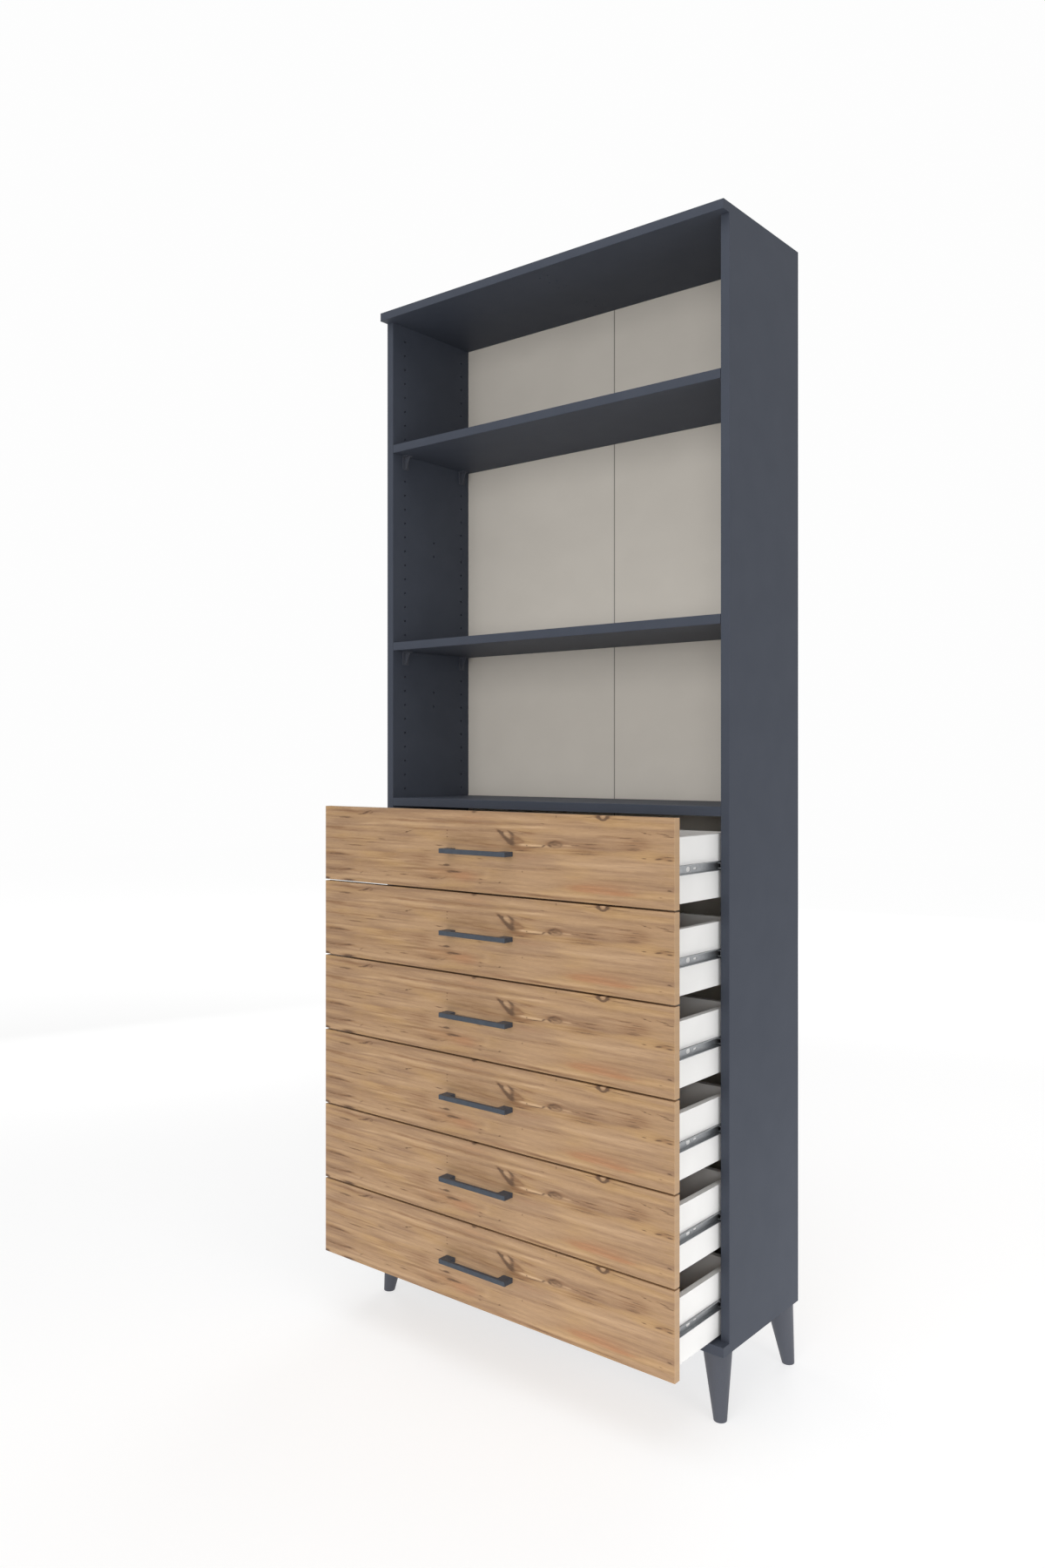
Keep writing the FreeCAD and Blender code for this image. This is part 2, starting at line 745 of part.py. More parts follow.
def save_carcase():
    """Write everything that stands still."""
    left, right = pair(side_panel())
    save("side_panel_left", [left])
    save("side_panel_right", [right])
    save("top_panel", [top_panel()])
    save("base_panel", [base_panel()])
    save("fixed_shelf", [fixed_shelf()])
    save("shelf_lower", [adjustable_shelf(lower_shelf_hole)])
    save("shelf_upper", [adjustable_shelf(upper_shelf_hole)])
    save("shelf_supports", shelf_supports())
    sheet_end = inner_x + back_groove_depth - back_groove_play
    save("back_panel_left", [back_sheet(-sheet_end, seam_offset - seam_width / 2)])
    save("back_panel_right", [back_sheet(seam_offset + seam_width / 2, sheet_end)])
    save("back_joining_strip", [back_joining_strip()])
    names = ("leg_front_left", "leg_front_right", "leg_rear_left", "leg_rear_right")
    for name, (foot, top) in zip(names, leg_places()):
        save(name, [leg(foot, top)])
    save("cabinet_runners", cabinet_runners())
    dowels = []
    for dowel in board_dowels() + shelf_dowels():
        dowels += pair(dowel)
    save("panel_dowels", dowels)
    fittings = leg_bolts()
    for fitting in board_screws() + cam_bolts() + cams():
        fittings += pair(fitting)
    save("panel_fittings", fittings)


def save_drawer(number):
    """Write one drawer, numbered from 1 at the top."""
    low_z = drawer_z(number)
    middle_z = runner_z(number)
    stem = "drawer_" + str(number) + "_"
    save(stem + "front", [drawer_front(low_z)])
    save(stem + "sides", drawer_sides(low_z, middle_z))
    save(stem + "back", [drawer_back(low_z)])
    save(stem + "bottom", [drawer_bottom(low_z)])
    save(stem + "handle", [drawer_handle(low_z)] + handle_screws(low_z))
    save(stem + "runners", drawer_runners(middle_z))
    save(stem + "ball_cages", ball_cages(middle_z))


os.makedirs("parts", exist_ok=True)
save_carcase()
for drawer_number in drawer_numbers:
    save_drawer(drawer_number)
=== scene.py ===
import math

import bpy
import numpy as np
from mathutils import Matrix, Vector


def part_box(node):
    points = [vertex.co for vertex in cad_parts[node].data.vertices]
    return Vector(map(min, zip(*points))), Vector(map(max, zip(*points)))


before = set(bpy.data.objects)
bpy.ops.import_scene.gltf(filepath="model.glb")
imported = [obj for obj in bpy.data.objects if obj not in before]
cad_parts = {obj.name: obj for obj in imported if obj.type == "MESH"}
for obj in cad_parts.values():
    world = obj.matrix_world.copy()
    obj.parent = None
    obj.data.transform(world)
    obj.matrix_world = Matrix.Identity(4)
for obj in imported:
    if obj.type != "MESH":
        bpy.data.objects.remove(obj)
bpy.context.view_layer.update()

# A bookcase with six drawers: graphite melamine boards, a beige back, rustic oak drawer fronts.
# Metres, +Z up, +Y to the back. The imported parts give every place; this script gives them their
# finish, and adds the light, the floor and the camera.

MM = 0.001


# ---------------------------------------------------------------- places read from the parts
front_edge_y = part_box("side_panel_right")[0].y       # front edges of the side panels and shelves
end_board_front_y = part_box("top_panel")[0].y         # front edges of the top and base panels
half_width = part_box("top_panel")[1].x
back_low, back_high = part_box("back_panel_left")
back_middle_y = (back_low.y + back_high.y) / 2
drawer_count = sum(name.endswith("_front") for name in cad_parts)
first_front_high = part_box("drawer_1_front")[1]
front_pitch = first_front_high.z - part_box("drawer_2_front")[1].z
bottom_low, bottom_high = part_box("drawer_1_bottom")
bottom_middle_z = (bottom_low.z + bottom_high.z) / 2


# ---------------------------------------------------------------- shader values
NOISE_MEAN = 0.5
# Most of a noise lies between the first pair, and nearly all of it between the second.
NOISE_LOW, NOISE_HIGH = 0.3, 0.7
NOISE_LEAST, NOISE_MOST = 0.2, 0.8


def tone(red, green, blue):
    """A display colour, 0 to 255 each, as the linear colour that the nodes take."""
    share = np.array([red, green, blue]) / 255.0
    linear = np.where(share <= 0.04045, share / 12.92, ((share + 0.055) / 1.055) ** 2.4)
    return (*(float(part) for part in linear), 1.0)


class Value:
    """An output socket of a node sheet. Arithmetic on it adds Math nodes."""

    def __init__(self, sheet, socket):
        self.sheet = sheet
        self.socket = socket

    def math(self, operation, *values):
        """A Math node on values, on the same sheet as this one."""
        return self.sheet.node("Math", {"operation": operation}, dict(enumerate(values)))

    def __add__(self, other):
        return self.math("ADD", self, other)

    def __radd__(self, other):
        return self.math("ADD", other, self)

    def __sub__(self, other):
        return self.math("SUBTRACT", self, other)

    def __rsub__(self, other):
        return self.math("SUBTRACT", other, self)

    def __mul__(self, other):
        return self.math("MULTIPLY", self, other)

    def __rmul__(self, other):
        return self.math("MULTIPLY", other, self)

    def __mod__(self, other):
        return self.math("FLOORED_MODULO", self, other)

    def __abs__(self):
        return self.math("ABSOLUTE", self)

    def __gt__(self, other):
        return self.math("GREATER_THAN", self, other)

    def __lt__(self, other):
        return self.math("LESS_THAN", self, other)

    def times_plus(self, factor, term):
        """self * factor + term in one node."""
        return self.math("MULTIPLY_ADD", self, factor, term)

    def most(self, other):
        """The larger of the two."""
        return self.math("MAXIMUM", self, other)

    def between(self, low, high, start=0.0, end=1.0):
        """Smooth step from start to end while self goes from low to high."""
        return self.sheet.node("MapRange", {"interpolation_type": "SMOOTHSTEP"},
                               {"Value": self, "From Min": low, "From Max": high,
                                "To Min": start, "To Max": end})


class Sheet:
    """The nodes of a material or of the world. node() adds any node, and set() feeds the shader."""

    def __init__(self, owner, shader):
        owner.use_nodes = True
        self.tree = owner.node_tree
        self.shader = self.tree.nodes[shader]

    def feed(self, socket, value):
        """Links a Value to a socket, or sets the socket to a plain number, colour or vector."""
        if isinstance(value, Value):
            self.tree.links.new(value.socket, socket)
        else:
            socket.default_value = value

    def node(self, kind, settings=None, inputs=None, output=0):
        """A node of a type: its settings first, then the values or links of its sockets."""
        made = self.tree.nodes.new("ShaderNode" + kind)
        for key, value in (settings or {}).items():
            setattr(made, key, value)
        for key, value in (inputs or {}).items():
            self.feed(made.inputs[key], value)
        return Value(self, made.outputs[output])

    def set(self, **inputs):
        """Feeds shader sockets, named with _ for a space."""
        for key, value in inputs.items():
            self.feed(self.shader.inputs[key.replace("_", " ")], value)

    def parts(self, vector):
        """The three values of a vector."""
        split = self.node("SeparateXYZ", inputs={"Vector": vector}).socket.node
        return [Value(self, socket) for socket in split.outputs]

    def vector(self, x, y, z):
        """A vector from three values."""
        return self.node("CombineXYZ", inputs={"X": x, "Y": y, "Z": z})

    def seen(self):
        """1 on rays that show a surface, straight or mirrored, and 0 on rays that light one."""
        path = self.node("LightPath").socket.node
        straight, mirrored, through = (Value(self, path.outputs["Is %s Ray" % name])
                                       for name in ("Camera", "Glossy", "Transmission"))
        return straight.most(mirrored).most(through)


class Finish(Sheet):
    """A node material, drawn on Object coordinates in metres."""

    def __init__(self, name):
        self.material = bpy.data.materials.new(name)
        super().__init__(self.material, "Principled BSDF")

    def place(self):
        """Object coordinates as a vector."""
        return self.node("TexCoord", output="Object")

    def axes(self):
        """Object coordinates as three values."""
        return self.parts(self.place())

    def vector_math(self, operation, *vectors, output=0):
        """A Vector Math node; output is "Value" for one that gives a number."""
        return self.node("VectorMath", {"operation": operation}, dict(enumerate(vectors)), output)

    def noise(self, vector, size, detail, roughness=0.5, distortion=0.0):
        """Noise with features of a size, or of a size along each axis, round NOISE_MEAN."""
        sizes = (size, size, size) if isinstance(size, float) else size
        inputs = {"Vector": self.vector_math("DIVIDE", vector, sizes), "Scale": 1.0,
                  "Detail": detail, "Roughness": roughness, "Distortion": distortion}
        return self.node("TexNoise", {"noise_dimensions": "3D"}, inputs)

    def mixed(self, factor, colour, other):
        """One colour turning into another as factor goes from 0 to 1."""
        return self.node("Mix", {"data_type": "RGBA"}, {0: factor, 6: colour, 7: other}, output=2)

    def mottled(self, noise, tones):
        """Two tones in soft patches, as a noise gives them."""
        return self.mixed(noise.between(NOISE_LOW, NOISE_HIGH), *tones)

    def rough(self, noise, lowest, highest):
        """Roughness between two values, as a noise gives it."""
        return noise.between(NOISE_LEAST, NOISE_MOST, lowest, highest)

    def bump(self, height, distance, strength):
        """A normal from a height from 0 to 1, which stands for distance in metres."""
        return self.node("Bump", inputs={"Height": height, "Distance": distance,
                                         "Strength": strength})


# ---------------------------------------------------------------- board finishes
# A pair of tones is a finish's darker and lighter patches.
GRAPHITE_TONES = (tone(64, 69, 80), tone(69, 74, 85))
JOINT_TONE = tone(48, 51, 58)
BEIGE_TONES = (tone(223, 216, 205), tone(226, 219, 208))
WHITE_LACQUER_TONES = (tone(238, 234, 229), tone(241, 237, 232))
RAW_FIBRE_TONES = (tone(138, 107, 76), tone(170, 138, 102))
WHITE_FOIL_TONES = (tone(242, 241, 239), tone(245, 244, 242))
BAND_THICKNESS = 0.9 * MM
HALF_JOINT = 0.12 * MM
JOINT_COVER = 0.35                # how far the joint's tone covers the board's
CLOUD_SHARE = 0.45                # of the melamine's mottle; the rest is grit
LACQUER_ROUGHNESS = 0.5
FIBRE_ROUGHNESS = 0.75


def melamine(name, band_y, band_x=None):
    """Graphite melamine: a fine mottle, a pearled surface and the joint of the edge bands.

    band_y is where the front edge is, and band_x is how far out the side edges are, if banded.
    """
    finish = Finish(name)
    place = finish.place()
    x, y, _ = finish.axes()
    cloud = finish.noise(place, 60 * MM, detail=3.0)
    grit = finish.noise(place, 0.9 * MM, detail=2.0)
    joint = abs(y - (band_y + BAND_THICKNESS)) < HALF_JOINT
    if band_x:
        joint = joint.most(abs(abs(x) - (band_x - BAND_THICKNESS)) < HALF_JOINT)
    mottle = cloud.times_plus(CLOUD_SHARE, grit * (1 - CLOUD_SHARE))
    colour = finish.mixed(joint * JOINT_COVER, finish.mottled(mottle, GRAPHITE_TONES), JOINT_TONE)
    finish.set(Base_Color=colour, Roughness=finish.rough(grit, 0.5, 0.62),
               Normal=finish.bump(grit, distance=0.03 * MM, strength=0.35), Specular_IOR_Level=0.18)
    return finish.material


def hardboard(name, tones, is_raw):
    """Thin sheets: lacquer on the good face, raw brown fibre on the other.

    is_raw takes a place's x, y and z and gives 1 on the raw side.
    """
    finish = Finish(name)
    place = finish.place()
    cloud = finish.noise(place, (120 * MM, 120 * MM, 90 * MM), detail=3.0)
    peel = finish.noise(place, 2.2 * MM, detail=2.0)
    fibre = finish.noise(place, (3.5 * MM, 3.5 * MM, 0.7 * MM), detail=4.0, roughness=0.65,
                         distortion=1.2)
    lacquer = finish.mottled(cloud, tones)
    raw = finish.mixed(fibre.between(0.25, 0.75), *RAW_FIBRE_TONES)
    raw_side = is_raw(*finish.axes())
    relief = finish.node("Mix", {"data_type": "FLOAT"}, {0: raw_side, 2: peel, 3: fibre})
    finish.set(Base_Color=finish.mixed(raw_side, lacquer, raw),
               Roughness=raw_side.times_plus(FIBRE_ROUGHNESS - LACQUER_ROUGHNESS,
                                             LACQUER_ROUGHNESS),
               Normal=finish.bump(relief, distance=0.04 * MM, strength=0.3), Specular_IOR_Level=0.3)
    return finish.material


def white_foil():
    """White drawer boxes: smooth foil with a faint pearl."""
    finish = Finish("white_foil")
    place = finish.place()
    pearl = finish.noise(place, 1.6 * MM, detail=2.0)
    cloud = finish.noise(place, 70 * MM, detail=2.0)
    finish.set(Base_Color=finish.mottled(cloud, WHITE_FOIL_TONES),
               Roughness=finish.rough(pearl, 0.38, 0.5),
               Normal=finish.bump(pearl, distance=0.02 * MM, strength=0.3), Specular_IOR_Level=0.3)
    return finish.material


# ---------------------------------------------------------------- oak decor
# Marks of the print, each: distance right of the middle, distance below the front's upper edge,
# half length, half height, rise to the right (all in millimetres, but rise is a slope), strength.
DARK_MARKS = (
    (-308, 8.5, 14, 1.8, 0.30, 1.0), (-322, 13, 24, 1.8, 0.15, 0.8), (-298, 11, 10, 1.2, 0.35, 0.8),
    (-376, 22.6, 26, 2.6, 0.0, 1.0), (-190, 45.5, 13, 1.2, 0.28, 1.2),
    (-268, 64, 16, 1.6, 0.0, 0.8), (-300, 72, 26, 1.4, 0.0, 0.8), (-388, 71.5, 34, 1.6, 0.0, 0.6),
    (-345, 80, 34, 1.8, 0.0, 0.85), (-140, 82, 24, 1.3, 0.0, 0.6), (-105, 70, 15, 1.4, 0.0, 1.1),
    (-13, 1, 9, 3.0, 0.0, 1.1), (-398, 101, 44, 2.0, 0.0, 1.0), (-190, 106, 20, 1.3, 0.0, 0.6),
    (-84, 107.5, 9, 2.0, 0.0, 1.5), (-96, 109, 18, 1.6, 0.0, 0.8), (-64, 119.5, 24, 2.4, 0.0, 1.2),
    (-78, 122, 12, 1.4, 0.0, 0.7), (-368, 132, 26, 2.0, 0.1, 0.95), (-418, 135, 22, 2.0, 0.0, 0.75),
    (-328, 137, 7, 2.2, 0.4, 0.7), (-262, 131, 26, 1.4, 0.0, 0.7), (-203, 133, 14, 1.6, 0.0, 0.9),
    (-248, 138, 16, 1.5, 0.0, 0.8), (-122, 136, 22, 2.6, 0.0, 0.8), (-92, 134, 12, 1.4, 0.3, 0.6),
    (-434, 154, 12, 3.4, 0.0, 1.4), (-366, 155, 22, 3.8, 0.0, 1.3), (-290, 153, 24, 1.4, 0.0, 0.5),
    (-83, 40, 2.4, 1.4, 0.0, 0.9), (-84, 45.5, 1.8, 1.2, 0.0, 0.8), (-83, 52, 2.6, 1.5, 0.0, 1.0),
    (187, 4.5, 1.6, 3.4, 0.0, 1.0), (157, 19, 17, 1.2, 0.0, 0.7), (262, 24, 4, 1.2, 0.0, 0.6),
    (382, 28.5, 14, 1.1, -0.22, 1.0), (418, 29, 17, 1.1, -0.20, 1.0), (427, 33, 12, 1.2, 0.0, 0.8),
    (64, 47, 19, 5.5, -0.72, 1.05), (83, 47, 7.5, 13.0, 0.0, 0.8), (80, 56, 16, 5.5, -0.35, 0.85),
    (53, 37.5, 8, 3.0, -0.4, 0.9), (59.5, 38, 3.0, 2.2, 0.0, 1.0), (78, 38, 9, 3.0, -0.5, 0.9),
    (280, 2.5, 4.5, 5.0, 0.0, 1.1), (302, 2.5, 4.5, 5.0, 0.0, 1.1), (185, 56, 19, 6.5, 0.0, 0.75),
    (106, 38, 26, 2.6, 0.0, 0.6), (112, 53, 26, 1.6, -0.08, 0.6), (108, 71, 22, 1.8, 0.0, 0.85),
    (134, 63.2, 27, 0.9, 0.02, 1.4), (158, 60, 5, 1.8, 0.25, 1.5), (118, 60.5, 2.6, 1.6, 0.0, 1.1),
    (178, 52, 10, 1.8, 0.25, 0.8), (171, 59, 5, 2.0, -0.2, 0.8), (262, 52, 28, 1.6, 0.0, 0.8),
    (264, 59, 26, 1.5, 0.0, 0.8), (232, 55.5, 16, 1.2, 0.0, 0.7), (250, 70, 44, 2.0, 0.0, 0.8),
    (342, 38, 18, 1.5, 0.0, 0.9), (362, 42, 20, 1.4, 0.0, 0.8), (356, 50, 26, 1.6, 0.0, 0.7),
    (356, 57, 20, 3.4, 0.0, 0.8), (378, 72, 6, 1.2, 0.0, 1.0), (408, 71.5, 8, 1.7, 0.12, 1.4),
    (430, 72.5, 8, 1.5, 0.0, 1.4), (424, 67, 15, 1.2, 0.0, 1.0), (176, 101.3, 28, 0.8, 0.0, 1.1),
    (54, 110.5, 56, 0.9, 0.0, 0.6), (107.5, 110.5, 1.0, 2.4, 0.0, 1.1),
    (52, 133.5, 3.4, 1.6, 0.2, 1.1), (4, 130, 6, 1.4, 0.0, 0.9), (2, 138, 7, 1.4, 0.0, 0.8),
    (2, 91, 10, 2.0, 0.0, 0.7), (432, 124, 8, 1.4, -0.1, 1.3), (412, 137, 5, 1.2, 0.0, 0.8),
    (150, 152, 44, 2.0, 0.0, 0.7), (-60, 151, 60, 1.5, 0.0, 0.6), (325, 5, 24, 1.4, 0.0, 0.8),
    (262, 3.5, 20, 1.4, 0.0, 0.8), (300, 151, 60, 1.4, 0.0, 0.55),
)
SHADE_MARKS = (
    (-360, 9, 60, 6.0, 0.0, 0.8), (-335, 47, 80, 5.0, 0.0, 0.7), (-300, 120, 80, 9.0, 0.0, 0.45),
    (-240, 96, 60, 8.0, 0.0, 0.6), (-155, 100, 40, 12.0, 0.0, 0.9), (-40, 105, 40, 4.5, 0.0, 0.7),
    (-20, 52, 80, 15.0, 0.0, 0.55), (10, 64, 56, 5.0, 0.0, 0.6), (112, 38, 34, 5.0, 0.0, 0.9),
    (112, 66, 40, 6.0, 0.0, 0.9), (92, 52, 14, 9.0, 0.0, 0.8), (244, 68, 56, 6.0, 0.0, 0.9),
    (250, 55, 60, 6.0, 0.0, 0.6), (354, 47, 42, 15.0, 0.0, 1.1), (420, 70, 30, 8.0, 0.0, 0.6),
    (-420, 98, 40, 8.0, 0.0, 0.5), (-130, 134, 60, 7.0, 0.0, 0.6), (-380, 134, 70, 6.0, 0.0, 0.6),
    (310, 114, 70, 5.0, 0.0, 0.4), (-190, 60, 50, 5.0, 0.0, 0.4), (291, 2, 26, 7.0, 0.0, 0.9),
    (96, 55, 20, 8.0, -0.35, 1.8), (185, 56, 20, 7.5, 0.0, 1.6), (70, 47, 26, 12.0, -0.4, 0.7),
    (60, 152, 420, 5.0, 0.0, 0.5), (-84, 110, 24, 6.0, 0.0, 0.6), (-110, 22.6, 160, 2.6, 0.0, 1.5),
    (-205, 23.5, 34, 1.8, 0.0, 0.8), (-412, 45, 44, 3.2, 0.0, 1.2), (-160, 38, 60, 2.0, 0.0, 0.8),
    (-410, 67, 44, 2.8, 0.0, 1.2), (-340, 66, 40, 2.0, 0.0, 0.7), (-395, 101, 60, 3.0, 0.0, 0.8),
    (-285, 104, 60, 2.4, 0.0, 0.6), (-60, 38, 80, 2.4, 0.0, 0.6), (-110, 118, 50, 2.6, 0.0, 0.6),
    (-170, 120, 60, 2.4, 0.0, 0.5), (220, 14, 60, 2.2, 0.0, 0.5), (150, 103, 80, 2.0, 0.0, 0.5),
    (340, 98, 80, 2.0, 0.0, 0.4), (300, 36, 30, 3.0, 0.0, 0.5),
)
LIGHT_MARKS = (
    (-130, 30, 110, 5.0, 0.0, 0.5), (-300, 33, 34, 2.0, 0.05, 0.6), (-208, 27, 36, 2.0, 0.0, 0.5),
    (-60, 9, 90, 7.0, 0.0, 0.35), (-430, 30, 20, 8.0, 0.0, 0.3), (-330, 54, 90, 4.0, 0.0, 0.25),
    (-400, 93, 60, 3.0, 0.0, 0.45), (-250, 107, 120, 3.0, 0.0, 0.35),
    (-330, 146, 120, 5.0, 0.0, 0.5), (-190, 146, 60, 4.0, 0.0, 0.3),
    (-200, 78, 100, 4.0, 0.0, 0.25), (-140, 60, 50, 6.0, 0.0, 0.25), (62, 28.5, 34, 2.6, 0.0, 0.9),
    (130, 26, 46, 2.4, 0.0, 0.9), (395, 18, 48, 4.0, 0.0, 0.45), (72, 45, 9, 4.5, -0.45, 0.7),
    (108, 59.5, 9, 2.4, 0.0, 0.8), (132, 60, 30, 2.6, 0.0, 1.05), (212, 57, 14, 1.2, 0.0, 0.8),
    (186, 45, 30, 2.4, 0.0, 0.4), (291, -1, 6, 6.0, 0.0, 1.3), (60, 97, 110, 8.0, 0.0, 0.3),
    (290, 90, 120, 9.0, 0.0, 0.3), (400, 105, 50, 5.0, 0.0, 0.35), (140, 127, 60, 12.0, 0.0, 0.3),
    (20, 122, 10, 9.0, 0.0, 0.35), (250, 147, 190, 4.0, 0.0, 0.5), (90, 12, 80, 6.0, 0.0, 0.3),
    (230, 34, 60, 4.0, 0.0, 0.3), (180, 88, 150, 10.0, 0.0, 0.3), (370, 88, 90, 12.0, 0.0, 0.4),
    (-300, 32, 150, 10.0, 0.0, 0.25), (-250, 76, 180, 8.0, 0.0, 0.2),
)
ORANGE_MARKS = (
    (-38, 127, 46, 15.0, 0.0, 0.7), (253, 133, 40, 6.0, 0.0, 1.1), (328, 136, 36, 4.5, 0.0, 0.95),
    (285, 128, 90, 14.0, 0.0, 0.55), (-20, 12, 60, 9.0, 0.0, 0.4), (40, 66, 30, 7.0, 0.0, 0.3),
    (120, 82, 60, 6.0, 0.0, 0.3), (-110, 122, 60, 12.0, 0.0, 0.35), (-430, 12, 26, 8.0, 0.0, 0.3),
    (60, 150, 60, 6.0, 0.0, 0.3),
)
RING_MARKS = (
    (185, 56.3, 18, 7.5, 0.0, 0.35), (291, 0.0, 12.5, 10.5, 0.0, 1.6),
)
SPOT_EDGE = 0.27          # what a mark keeps of its strength at its outline
FRAYED_FROM = 5.0         # a mark more than this many times as long as high has frayed ends
# A ring is drawn where a spot has the first value, and fades out to the second and third.
RING_LINE, RING_OUTSIDE, RING_INSIDE = 0.45, 0.2, 0.85
# Knots, in millimetres: middle as of a mark, half length and height, and how far the grain
# swerves round them.
KNOTS = ((72, 47, 26, 12, 4.0), (185, 56.5, 22, 8, 3.0), (291, -1.5, 20, 13, 6.0))
SWERVE_REACH = 2.2        # a knot bends the grain out to this many times its size

# The length, depth and height of the features of each noise, in millimetres.
WAVER_SIZE = (70.0, 1.0, 9.0)
RIPPLE_SIZE = (9.0, 1.0, 2.4)
FRAY_SIZE = (45.0, 1.0, 1.1)
BROAD_GRAIN = (320.0, 1.0, 13.0)
MIDDLE_GRAIN = (125.0, 1.0, 4.8)
FINE_GRAIN = (20.0, 1.0, 0.9)
HUE_SIZE = (180.0, 1.0, 26.0)
PATCH_SIZE = (150.0, 1.0, 16.0)
PORE_SIZE = (14.0, 1.0, 0.6)
STREAK_SIZE = (11.0, 1.0, 1.3)
# How far the noises move the print, in millimetres.
WAVER = 2.8
RIPPLE = 1.1
FRAY = 26.0
RIPPLE_DEPTH = 3.0        # where in its noise the ripple is cut, so that it differs from the waver

PLAIN_TONE = tone(177, 143, 108)
GREY_TONE = tone(153, 121, 93)
HONEY_TONE = tone(186, 149, 102)
DARK_TONE = tone(92, 69, 52)
PALE_TONE = tone(211, 176, 139)
ORANGE_TONE = tone(174, 124, 87)
SHADE_TONE = tone(136, 99, 69)
EDGE_BAND_TONE = tone(190, 157, 122)
OAK_BAND_THICKNESS = 0.4 * MM
# The most that each layer of the print covers what is under it.
HONEY_COVER = 0.7
GRAIN_DARK_COVER, GRAIN_PALE_COVER = 0.16, 0.24
LIGHT_COVER = 0.75
FINE_DARK_COVER, FINE_PALE_COVER = 0.12, 0.14
PORE_COVER = 0.2
DARK_COVER = 0.85
BAND_COVER = 0.7
SHADE_OF_DARK = 0.7       # the shade that a dark mark has round it, of its strength
DARK_GAIN = 1.25          # how much stronger the dark marks are made before streaks are taken out
STREAK_BITE = 0.45        # the most that a fine streak takes from a dark mark
DARK_FULL = 1.3           # the strength from which a dark mark covers the most
FIBRE_RELIEF, DARK_RELIEF = 0.4, 0.25     # fibres stand up and dark marks lie lower, in shares


class OakPrint:
    """The print of a drawer front, in millimetres from its middle and its upper edge."""

    def __init__(self, finish):
        self.finish = finish
        x, _, z = finish.axes()
        self.across = x * (1 / MM)
        down = ((first_front_high.z - z) % front_pitch) * (1 / MM)
        waver = finish.noise(finish.vector(self.across, 0.0, down), WAVER_SIZE, detail=3.0)
        ripple = finish.noise(finish.vector(self.across, RIPPLE_DEPTH, down), RIPPLE_SIZE,
                              detail=2.0)
        self.down = down + (waver - NOISE_MEAN) * WAVER + (ripple - NOISE_MEAN) * RIPPLE
        self.place = finish.vector(self.across, 0.0, self.down)
        fray = finish.noise(self.place, FRAY_SIZE, detail=2.0, roughness=0.6)
        self.frayed_across = self.across + (fray - NOISE_MEAN) * FRAY
        self.frayed_place = finish.vector(self.frayed_across, 0.0, self.down)

    def spot(self, x, below, half_length, half_height, rise=0.0):
        """An ellipse that fades outwards: 1 in its middle and SPOT_EDGE at its outline.

        It is SPOT_EDGE to the power of the squared distance from the middle, in half sizes.
        A long one is frayed at its ends, as the fibres are.
        """
        frays = half_length > FRAYED_FROM * half_height
        place = self.frayed_place if frays else self.place
        if rise:
            across = self.frayed_across if frays else self.across
            place = self.finish.vector(across, 0.0, (across - x).times_plus(rise, self.down))
        sizes = (1 / half_length, 1.0, 1 / half_height)
        middle = (-x / half_length, 0.0, -below / half_height)
        local = self.finish.vector_math("MULTIPLY_ADD", place, sizes, middle)
        square = self.finish.vector_math("DOT_PRODUCT", local, local, output="Value")
        return square.math("POWER", SPOT_EDGE, square)

    def marks(self, rows):
        """All the marks of a list, added up."""
        total = 0.0
        for *shape, strength in rows:
            total = self.spot(*shape).times_plus(strength, total)
        return total

    def rings(self, rows):
        """The outlines of the marks of a list, added up."""
        total = 0.0
        for *shape, strength in rows:
            inside = self.spot(*shape)
            outline = (inside.between(RING_OUTSIDE, RING_LINE)
                       * inside.between(RING_INSIDE, RING_LINE))
            total = outline.times_plus(strength, total)
        return total

    def swerve(self, knot):
        """How far the grain is bent round a knot, away from its middle."""
        x, below, along, across, push = knot
        near = self.spot(x, below, along * SWERVE_REACH, across * SWERVE_REACH)
        side = (self.down - below).between(-across, across, -1.0, 1.0)
        return near * near * side * push

    def grain(self):
        """Fibres at three sizes, drawn on coordinates that go round the knots."""
        down = self.down
        for knot in KNOTS:
            down = down - self.swerve(knot)
        place = self.finish.vector(self.across, 0.0, down)
        return (self.finish.noise(place, BROAD_GRAIN, detail=3.0, roughness=0.55),
                self.finish.noise(place, MIDDLE_GRAIN, detail=4.0, roughness=0.55),
                self.finish.noise(place, FINE_GRAIN, detail=4.0, roughness=0.65))

    def noise(self, size, detail, roughness=0.5):
        """Noise on the print that takes no notice of the knots."""
        return self.finish.noise(self.place, size, detail, roughness)


